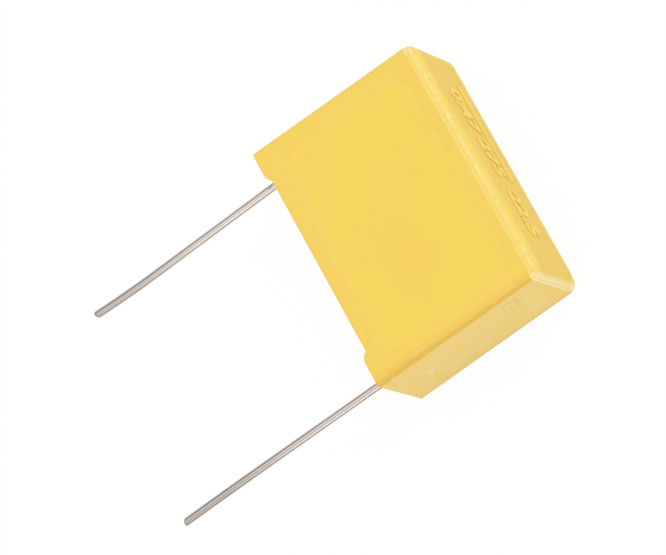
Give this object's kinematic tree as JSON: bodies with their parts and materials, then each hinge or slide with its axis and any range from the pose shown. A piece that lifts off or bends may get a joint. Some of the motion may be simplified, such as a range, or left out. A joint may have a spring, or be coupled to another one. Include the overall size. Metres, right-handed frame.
{
  "type": "box film capacitor",
  "caption": "Box-cased polypropylene film capacitor with radial wire leads, sealed with resin; a through-hole part that blocks DC and passes or suppresses AC.",
  "frame": {"origin": "midway between the two leads on the plane that the feet stand on, at mid thickness", "axes": "+X from the left lead to the right lead, +Y from the feet to the closed top with the leads running along -Y, +Z out of the front face; the part lies on its back face"},
  "size_m": [0.0264, 0.0446, 0.01],
  "materials": {
    "case_plastic": "moulded yellow polyester, satin gloss",
    "resin": "cast yellow epoxy, soft sheen",
    "film": "metallised clear film, silvery",
    "sprayed_metal": "arc-sprayed zinc, matt and grainy",
    "tinned_wire": "tinned copper-clad steel wire, drawn, slightly dull"
  },
  "bodies": {
    "root": {"case": "case_plastic", "potting_resin": "resin", "film_roll": "film", "end_spray_left": "sprayed_metal", "end_spray_right": "sprayed_metal", "lead_left": "tinned_wire", "lead_right": "tinned_wire"}
  },
  "joints": []
}
